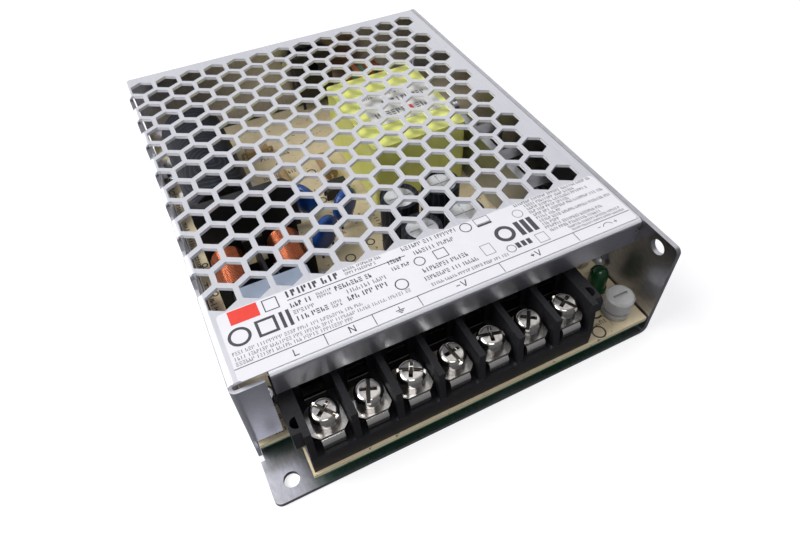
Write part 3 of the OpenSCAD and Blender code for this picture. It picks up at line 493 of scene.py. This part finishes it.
# Lines of print on the label: left, right, middle Y, height, weight of stroke
labelPrint = dict(
    seed=11,
    bold=[
        (-32.2, -20.2, -36.75, 1.75, 0.24), (-32.0, -27.0, -39.9, 1.25, 0.20),
        (-22.4, -14.4, -39.9, 1.25, 0.20), (-9.8, -6.4, -38.6, 1.1, 0.20),
        (-32.0, -25.2, -43.6, 1.25, 0.20), (-21.0, -12.0, -43.6, 1.25, 0.20),
        (-9.8, -5.6, -40.6, 1.0, 0.18), (-5.4, 8.0, -36.4, 1.15, 0.17), (-3.6, 7.2, -38.6, 1.15, 0.17),
        (-4.0, 7.6, -44.0, 1.2, 0.18), (-4.8, 8.2, -46.2, 1.1, 0.18), (-4.2, 14.6, -48.2, 0.8, 0.18),
    ],
    light=[
        (-19.0, -10.4, -36.1, 0.75, 0.2), (-19.0, -12.0, -37.2, 0.75, 0.2),
        (-26.4, -23.2, -39.5, 0.7, 0.2), (-26.4, -23.6, -40.4, 0.7, 0.2), (-32.0, -27.4, -41.8, 1.0, 0.17),
        (-20.6, -11.6, -41.8, 1.1, 0.17), (-24.6, -22.2, -43.2, 0.7, 0.2), (-24.6, -22.4, -44.1, 0.7, 0.2),
        (-45.6, -18.8, -46.0, 0.85, 0.16), (-45.6, -8.6, -47.3, 0.85, 0.16),
        (-45.6, -22.0, -48.5, 0.85, 0.16), (23.8, 45.6, -36.1, 0.85, 0.22),
        (25.8, 40.0, -37.25, 0.85, 0.22), (26.0, 43.0, -38.4, 0.85, 0.22),
        (25.8, 37.4, -39.55, 0.85, 0.22), (26.2, 45.8, -40.7, 0.85, 0.22),
        (26.2, 33.0, -41.85, 0.85, 0.22), (26.2, 46.2, -43.0, 0.85, 0.22),
        (26.2, 31.0, -44.15, 0.85, 0.22), (26.2, 42.0, -45.3, 0.85, 0.22), (26.6, 40.6, -46.5, 0.85, 0.22),
        (30.8, 45.4, -47.6, 0.7, 0.22), (31.2, 46.0, -48.6, 0.6, 0.22),
    ],
    # plain blocks, outlines and rings in the places of small symbols
    shapes=[
        ("red", "bar", (-44.0, -39.3, -38.0, -35.7)), ("dark", "bar", (-32.1, -38.42, -5.5, -38.22)),
        ("dark", "frame", (-37.0, -39.2, -33.9, -36.0, 0.22)), ("dark", "ring", (-43.2, -42.5, 2.3, 0.62)),
        ("dark", "frame", (-39.8, -44.6, -35.6, -40.4, 0.6)),
        ("dark", "bar", (-34.8, -44.6, -34.1, -40.4)), ("dark", "bar", (-33.4, -44.6, -32.7, -40.4)),
        ("dark", "ring", (-3.4, -41.2, 1.3, 0.22)), ("dark", "frame", (0.2, -42.6, 3.2, -39.9, 0.2)),
        ("dark", "ring", (-9.6, -45.2, 1.5, 0.25)), ("dark", "ring", (10.4, -37.0, 1.45, 0.24)),
        ("dark", "frame", (12.9, -37.6, 16.6, -35.6, 0.14)), ("dark", "bar", (12.9, -38.3, 16.6, -37.7)),
        ("grey", "ring", (23.2, -38.6, 1.3, 0.16)), ("dark", "ring", (17.2, -42.7, 2.4, 0.9)),
        ("dark", "bar", (20.4, -45.0, 21.6, -40.6)), ("dark", "bar", (22.1, -45.0, 23.3, -40.6)),
        ("dark", "bar", (23.8, -45.0, 25.0, -40.6)), ("dark", "bar", (17.4, -47.8, 18.4, -46.2)),
        ("dark", "bar", (18.8, -47.8, 19.8, -46.2)), ("dark", "bar", (20.2, -47.8, 21.2, -46.2)),
        ("grey", "frame", (22.6, -48.8, 25.2, -46.0, 0.14)),
        ("grey", "frame", (10.0, -46.6, 12.6, -43.4, 0.14)), ("dark", "ring", (16.0, -47.2, 1.1, 0.16)),
    ],
    rule=dict(left=-46.2, right=46.4, y=-49.45, wide=0.18),
    dividers=dict(places=(-28.6, -18.35, -8.2, 11.25, 30.6), foot=-52.2, wide=0.16),
)


def buildLabelPrint():
    dice = random.Random(labelPrint["seed"])
    level = labelTop + printHeight
    dark = Print(level)
    grey = Print(level)
    red = Print(level)
    for left, right, y, tall, weight in labelPrint["bold"]:
        dark.ticks(left, right, y, tall, weight, dice)
    for left, right, y, tall, weight in labelPrint["light"]:
        grey.ticks(left, right, y, tall, weight, dice)
    rule = labelPrint["rule"]
    dark.bar(rule["left"], rule["y"] - rule["wide"] / 2, rule["right"], rule["y"] + rule["wide"] / 2)
    pens = dict(dark=dark, grey=grey, red=red)
    for ink, shape, values in labelPrint["shapes"]:
        pen = pens[ink]
        dict(bar=pen.bar, frame=pen.frame, ring=pen.ring)[shape](*values)
    dividers = labelPrint["dividers"]
    for x in dividers["places"]:
        dark.bar(x - dividers["wide"] / 2, dividers["foot"], x + dividers["wide"] / 2, rule["y"])
    dark.build("label_print_dark", inks["dark"])
    grey.build("label_print_grey", inks["grey"])
    red.build("label_print_red", inks["red"])


buildLabelPrint()

# Plain electrical marks over the terminals, and the minus, arc and plus over the adjuster
markLook = dict(
    base=-51.7, tall=1.6, wide=0.22, live=(-35.2, -34.2), neutral=(-23.8, -22.7), lean=0.1,
    earth=dict(stem=-12.9, stemWide=0.176, middle=-12.8, thick=0.2,
               bars=((1.9, 0), (1.25, 0.36), (0.6, 0.72))),
    output=dict(minus=1.6, plus=20.0, sign=(-1.5, -0.6), reach=0.45, letter=(-0.2, 0.4, 1.0)),
    adjust=dict(minus=(36.5, 37.2), plus=(41.0, 41.8), thin=0.16, reach=0.4, arc=(39.1, 0.1, 1.4),
                swing=(20, 160)),
)


def buildTerminalMarks():
    marks = Print(labelTop + printHeight)
    low, tall, wide = markLook["base"], markLook["tall"], markLook["wide"]
    high = low + tall
    middle = low + tall / 2
    left, right = markLook["live"]
    marks.bar(left, low, left + wide, high)
    marks.bar(left, low, right, low + wide)
    left, right = markLook["neutral"]
    marks.bar(left, low, left + wide, high)
    marks.bar(right, low, right + wide, high)
    marks.stroke((left + markLook["lean"], high), (right + markLook["lean"], low), wide)
    earth = markLook["earth"]
    marks.bar(earth["stem"], middle, earth["stem"] + earth["stemWide"], high)
    for width, drop in earth["bars"]:
        top = middle - drop
        marks.bar(earth["middle"] - width / 2, top - earth["thick"], earth["middle"] + width / 2, top)
    output = markLook["output"]
    left, right = output["sign"]
    for x in (output["minus"], output["plus"]):
        marks.bar(x + left, middle - wide / 2, x + right, middle + wide / 2)
        if x == output["plus"]:
            upright = x + (left + right) / 2
            reach = output["reach"]
            marks.bar(upright - wide / 2, middle - reach, upright + wide / 2, middle + reach)
        first, foot, last = output["letter"]
        marks.stroke((x + first, high), (x + foot, low), wide)
        marks.stroke((x + last, high), (x + foot, low), wide)
    adjust = markLook["adjust"]
    thin = adjust["thin"]
    for left, right in (adjust["minus"], adjust["plus"]):
        marks.bar(left, middle, right, middle + thin)
    upright, level = sum(adjust["plus"]) / 2, middle + thin / 2
    marks.bar(upright - thin / 2, level - adjust["reach"], upright + thin / 2, level + adjust["reach"])
    x, rise, outer = adjust["arc"]
    marks.ring(x, low + rise, outer, thin, *adjust["swing"])
    marks.build("terminal_marks", inks["dark"])


buildTerminalMarks()
print("label printed")


def sweepTube(points, radius, sides=6):
    # a round tube along a path, closed at both ends
    corners, faces = [], []
    across = None
    for index, point in enumerate(points):
        ahead = (points[min(index + 1, len(points) - 1)] - points[max(index - 1, 0)]).normalized()
        if across is None:
            across = ahead.orthogonal().normalized()
        across = (across - ahead * across.dot(ahead)).normalized()
        other = ahead.cross(across)
        for side in range(sides):
            turn = 2 * math.pi * side / sides
            corners.append(point + radius * (math.cos(turn) * across + math.sin(turn) * other))
    for ring in range(len(points) - 1):
        for side in range(sides):
            a, b = ring * sides + side, ring * sides + (side + 1) % sides
            faces.append((a, b, b + sides, a + sides))
    faces.append(tuple(range(sides))[::-1])
    faces.append(tuple(range(len(corners) - sides, len(corners))))
    return corners, faces


def joinParts(parts):
    corners, faces = [], []
    for partCorners, partFaces in parts:
        start = len(corners)
        corners += partCorners
        faces += [tuple(start + v for v in face) for face in partFaces]
    return corners, faces


# Mains choke, two coils of enamelled wire laid turn by turn
chokeWire = dict(colour=(0.52, 0.175, 0.085), fleck=(0.36, 0.10, 0.045), metal=0.9, rough=0.22, grain=900,
                 bump=0.004, wire=0.23, turnCount=27, steps=44)


def buildChokeCoils():
    low, high = (Vector(corner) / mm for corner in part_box("choke_coils"))
    wire, turnCount, steps = chokeWire["wire"], chokeWire["turnCount"], chokeWire["steps"]
    outer = (high.z - low.z) / 2
    reach = outer - wire
    level = (high.z + low.z) / 2
    length = high.y - low.y - 2 * wire
    parts = []
    for x in (low.x + outer, high.x - outer):
        path = []
        for step in range(turnCount * steps + 1):
            turn = step / steps
            angle = 2 * math.pi * turn
            y = low.y + wire + length * turn / turnCount
            path.append(Vector((x + reach * math.cos(angle), y, level + reach * math.sin(angle))))
        parts.append(sweepTube(path, wire))
    finish = makeFinish("enamelledWire", chokeWire)
    coils = makePiece("choke_windings", *joinParts(parts), finish, "copper_wire", smooth=True)
    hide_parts("choke_coils")


buildChokeCoils()

# Blue capacitors, dipped discs on two legs, as X, Y and turn
dippedDisc = dict(places=((-14, -7.6, 35), (-5.2, 0.2, 35), (-14.6, 7.2, -60)), radius=4.9, thick=3.6,
                  level=13.7, edgeRound=0.7, faceRound=0.8, legSpread=2.5, legRadius=0.35, legSides=10,
                  legRise=0.6, legInset=3.0, collarRise=0.9, collarStep=0.5, collarWall=0.32, rings=14,
                  sides=36)


def buildDisc(place):
    x, y, turn = place
    look = dippedDisc
    corners, faces = [], []
    rings, sides = look["rings"], look["sides"]
    for ring in range(rings + 1):
        swing = math.pi * ring / rings
        reach = look["radius"] * math.sin(swing) ** look["edgeRound"]
        swell = abs(math.cos(swing)) ** look["faceRound"]
        depth = look["thick"] / 2 * math.copysign(swell, math.cos(swing))
        for side in range(sides):
            angle = 2 * math.pi * side / sides
            corners.append(Vector((reach * math.cos(angle), depth, reach * math.sin(angle))))
    for ring in range(rings):
        for side in range(sides):
            a, b = ring * sides + side, ring * sides + (side + 1) % sides
            faces.append((a, a + sides, b + sides, b))
    parts = [(corners, faces)]
    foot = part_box("disc_capacitors")[0][2] / mm - look["level"]
    top = -math.sqrt(look["radius"] ** 2 - look["legInset"] ** 2)
    for leg in (-look["legSpread"], look["legSpread"]):
        path = [Vector((leg, 0, foot + (top + look["legRise"] - foot) * step / 4)) for step in range(5)]
        parts.append(sweepTube(path, look["legRadius"], look["legSides"]))
        # the dip runs a little way down each leg
        dip = top + look["collarRise"]
        collar = [Vector((leg, 0, dip - look["collarStep"] * step)) for step in range(5)]
        parts.append(sweepTube(collar, look["legRadius"] + look["collarWall"], look["legSides"]))
    turned = Matrix.Translation((x, y, look["level"])) @ Matrix.Rotation(math.radians(turn), 4, "Z")
    corners, faces = joinParts(parts)
    return [turned @ corner for corner in corners], faces


def buildDiscs():
    finish = makeFinish("dippedEpoxy", discLook)
    corners, faces = joinParts([buildDisc(place) for place in dippedDisc["places"]])
    discs = makePiece("dipped_discs", corners, faces, finish, "blue_epoxy", smooth=True)
    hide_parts("disc_capacitors")


buildDiscs()
print("windings and discs built")

# Print on the transformer and on the board
transformerPrint = dict(
    seed=5,
    rows=((11.5, 24.0, 25.2, 2.0), (16.5, 30.4, 21.0, 2.2), (12.0, 21.8, 15.4, 2.4), (24.6, 30.6, 15.4, 2.4)),
    weight=0.2,
    redMark=(22.6, 13.4, 23.7, 16.6),
    redLift=0.01,
)
boardPrint = dict(
    seed=3,
    rings=(
        (33.9, -62.4, 1.8), (-9.6, -12.6, 1.5), (-20.4, 6.0, 1.6), (-8.0, 12.4, 1.4), (-2.4, -9.6, 1.3),
        (-16.8, 22.0, 1.8), (-6.4, 26.0, 1.5), (-45.2, -8.0, 0.9), (-45.2, 3.0, 0.9), (-13.6, 34.0, 1.6),
    ),
    rows=(
        (-20.8, -12.0, -14.6, 1.5), (-12.4, -7.0, -2.6, 1.3), (-21.6, -16.6, 12.6, 1.3),
        (-10.6, -3.0, 17.4, 1.4), (-20.6, -10.4, 29.4, 1.4), (-18.6, -8.6, 39.0, 1.4),
        (-44.2, -39.4, -45.0, 1.1), (-44.2, -39.6, -48.4, 1.1), (-43.6, -40.0, -51.6, 1.0),
        (30.6, 37.6, -60.4, 0.9),
    ),
    columns=(
        (-46.4, -30.0, -4.0), (-46.4, 0.0, 22.0), (-46.4, 28.0, 50.0), (-1.2, 6.0, 30.0), (2.8, -8.0, 0.0),
    ),
    arcs=(
        (29.6, -57.4, 2.6, 200, 330), (31.8, -59.6, 1.6, 20, 170), (36.6, -57.0, 2.2, 150, 300),
    ),
    ringWide=0.42, arcWide=0.5, weight=0.2, tickStep=(0.5, 1.4), tickReach=(0.3, 0.8), tickWide=0.28,
    stemShare=0.4, stemWide=0.25,
)


def buildInnerPrint():
    dice = random.Random(transformerPrint["seed"])
    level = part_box("transformer_label")[1][2] / mm + printHeight
    rows = Print(level)
    for left, right, y, tall in transformerPrint["rows"]:
        rows.ticks(left, right, y, tall, transformerPrint["weight"], dice)
    rows.build("transformer_label_rows", inks["grey"], "label_film")
    spot = Print(level + transformerPrint["redLift"])
    spot.bar(*transformerPrint["redMark"])
    spot.build("transformer_label_mark", inks["red"], "label_film")
    dice = random.Random(boardPrint["seed"])
    board = Print(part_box("pcb")[1][2] / mm + printHeight)
    for x, y, outer in boardPrint["rings"]:
        board.ring(x, y, outer, boardPrint["ringWide"])
    for left, right, y, tall in boardPrint["rows"]:
        board.ticks(left, right, y, tall, boardPrint["weight"], dice)
    for x, front, back in boardPrint["columns"]:
        y = front
        while y < back:
            step = dice.uniform(*boardPrint["tickStep"])
            left = x - dice.uniform(*boardPrint["tickReach"])
            right = x + dice.uniform(*boardPrint["tickReach"])
            board.bar(left, y, right, y + boardPrint["tickWide"])
            if dice.random() < boardPrint["stemShare"]:
                board.bar(x, y, x + boardPrint["stemWide"], y + step)
            y += step
    for x, y, outer, start, end in boardPrint["arcs"]:
        board.ring(x, y, outer, boardPrint["arcWide"], start, end)
    board.build("board_print", inks["board"], "board_laminate")


buildInnerPrint()
print("inner print built")

# Studio
cameraLook = dict(place=(-42.489, -117.975, 126.029), aim=(1.2948, -27.398, 15.0), roll=-0.0236, lens=27.13,
                  shiftX=-0.0140, shiftY=-0.00973, sensor=36, nearest=0.005, farthest=20)


def makeCamera():
    data = bpy.data.cameras.new("camera")
    camera = addObject("camera", data)
    place = Vector(cameraLook["place"]) * mm
    ahead = (Vector(cameraLook["aim"]) * mm - place).normalized()
    level = ahead.cross(Vector((0, 0, 1))).normalized()
    above = level.cross(ahead)
    cosine, sine = math.cos(cameraLook["roll"]), math.sin(cameraLook["roll"])
    right = cosine * level + sine * above
    up = -sine * level + cosine * above
    turn = Matrix((right, up, -ahead)).transposed()
    camera.matrix_world = Matrix.Translation(place) @ turn.to_4x4()
    data.lens = cameraLook["lens"]
    data.sensor_width = cameraLook["sensor"]
    data.shift_x = cameraLook["shiftX"]
    data.shift_y = cameraLook["shiftY"]
    data.clip_start = cameraLook["nearest"]
    data.clip_end = cameraLook["farthest"]
    bpy.context.scene.camera = camera


makeCamera()


def rayKind(tree, kinds):
    # 1 for rays of the named kinds, else 0
    path = tree.nodes.new("ShaderNodeLightPath")
    seen = path.outputs[kinds[0]]
    for kind in kinds[1:]:
        seen = mathStep(tree, "MAXIMUM", seen, path.outputs[kind])
    return seen


def fadeAlongY(tree, coordinate, look, low, high):
    # from low at the near edge to high at the far edge
    return mapValue(tree, axisValue(tree, "Y", coordinate), **{
        "From Min": look["nearEdge"], "From Max": look["farEdge"], "To Min": low, "To Max": high})


mirrorKinds = ("Is Glossy Ray", "Is Transmission Ray")

# White is what the camera sees, and what metal and clear parts show of the far side. The near side
# of the room is dimmer. There, the floor that metal and clear parts show is painted dark: painted shade in
# their reflections.
# The second floor colour is painted shade, seen only in reflections on the near side.
floorLook = dict(size=6.0, drop=0.02, colour=(0.40, 0.40, 0.41), reflectedShade=(0.12, 0.12, 0.13), rough=0.8,
                 lift=0.68, nearEdge=-0.06, farEdge=0.12)


def makeFloor():
    mesh = bpy.data.meshes.new("floor")
    half = floorLook["size"] / 2
    corners = [(-half, -half, 0), (half, -half, 0), (half, half, 0), (-half, half, 0)]
    mesh.from_pydata(corners, [], [(0, 1, 2, 3)])
    floor = addObject("floor", mesh)
    floor.location.z = -floorLook["drop"] * mm
    material = bpy.data.materials.new("paleFloor")
    material.use_nodes = True
    tree = material.node_tree
    shader = tree.nodes["Principled BSDF"]
    fade = fadeAlongY(tree, "Object", floorLook, 0.0, 1.0)
    # reflections of the near floor take the dark painted shade colour
    near = mathStep(tree, "MULTIPLY", rayKind(tree, mirrorKinds), mathStep(tree, "SUBTRACT", 1.0, fade))
    colour = mixColours(tree, near, floorLook["colour"], floorLook["reflectedShade"])
    tree.links.new(colour, shader.inputs["Base Color"])
    shader.inputs["Roughness"].default_value = floorLook["rough"]
    mirrored = mathStep(tree, "MULTIPLY", rayKind(tree, mirrorKinds), fade)
    seen = mathStep(tree, "MAXIMUM", rayKind(tree, ("Is Camera Ray",)), mirrored)
    white = addNode(tree, "ShaderNodeEmission", Color=(1, 1, 1, 1))
    tree.links.new(mathStep(tree, "MULTIPLY", seen, floorLook["lift"]), white.inputs["Strength"])
    both = tree.nodes.new("ShaderNodeAddShader")
    tree.links.new(shader.outputs[0], both.inputs[0])
    tree.links.new(white.outputs[0], both.inputs[1])
    tree.links.new(both.outputs[0], tree.nodes["Material Output"].inputs["Surface"])
    mesh.materials.append(material)


makeFloor()

lampLooks = dict(
    keySoftbox=dict(place=(-0.85, 0.25, 1.0), size=(0.9, 0.8), power=19.5, colour=(1.0, 0.995, 0.985)),
    topSoftbox=dict(place=(-0.25, -0.75, 1.5), size=(0.7, 0.5), power=4.0, colour=(0.97, 0.98, 1.0)),
)


def makeLamp(name, look):
    data = bpy.data.lights.new(name, "AREA")
    data.shape = "RECTANGLE"
    data.size, data.size_y = look["size"]
    data.energy = look["power"]
    data.color = look["colour"]
    lamp = addObject(name, data)
    lamp.location = look["place"]
    lamp.rotation_euler = (-Vector(look["place"])).to_track_quat("-Z", "Y").to_euler()


for name, look in lampLooks.items():
    makeLamp(name, look)

worldLook = dict(ambient=(0.93, 0.94, 1.0), strength=0.34, backdrop=1.0, room=0.22, nearEdge=-0.45,
                 farEdge=0.15)


def makeWorld():
    world = bpy.data.worlds.new("studio")
    bpy.context.scene.world = world
    world.use_nodes = True
    tree = world.node_tree
    tree.nodes.clear()
    out = tree.nodes.new("ShaderNodeOutputWorld")
    ambient = addNode(tree, "ShaderNodeBackground", Color=(*worldLook["ambient"], 1))
    ambient.inputs["Strength"].default_value = worldLook["strength"]
    white = addNode(tree, "ShaderNodeBackground", Color=(1, 1, 1, 1), Strength=worldLook["backdrop"])
    mirrored = addNode(tree, "ShaderNodeBackground", Color=(1, 1, 1, 1))
    fade = fadeAlongY(tree, "Generated", worldLook, worldLook["room"], worldLook["backdrop"])
    tree.links.new(fade, mirrored.inputs["Strength"])
    reflected = tree.nodes.new("ShaderNodeMixShader")
    tree.links.new(rayKind(tree, mirrorKinds), reflected.inputs[0])
    tree.links.new(ambient.outputs[0], reflected.inputs[1])
    tree.links.new(mirrored.outputs[0], reflected.inputs[2])
    choose = tree.nodes.new("ShaderNodeMixShader")
    tree.links.new(rayKind(tree, ("Is Camera Ray",)), choose.inputs[0])
    tree.links.new(reflected.outputs[0], choose.inputs[1])
    tree.links.new(white.outputs[0], choose.inputs[2])
    tree.links.new(choose.outputs[0], out.inputs["Surface"])


makeWorld()
bpy.context.scene.view_settings.view_transform = "Standard"
print("studio ready")
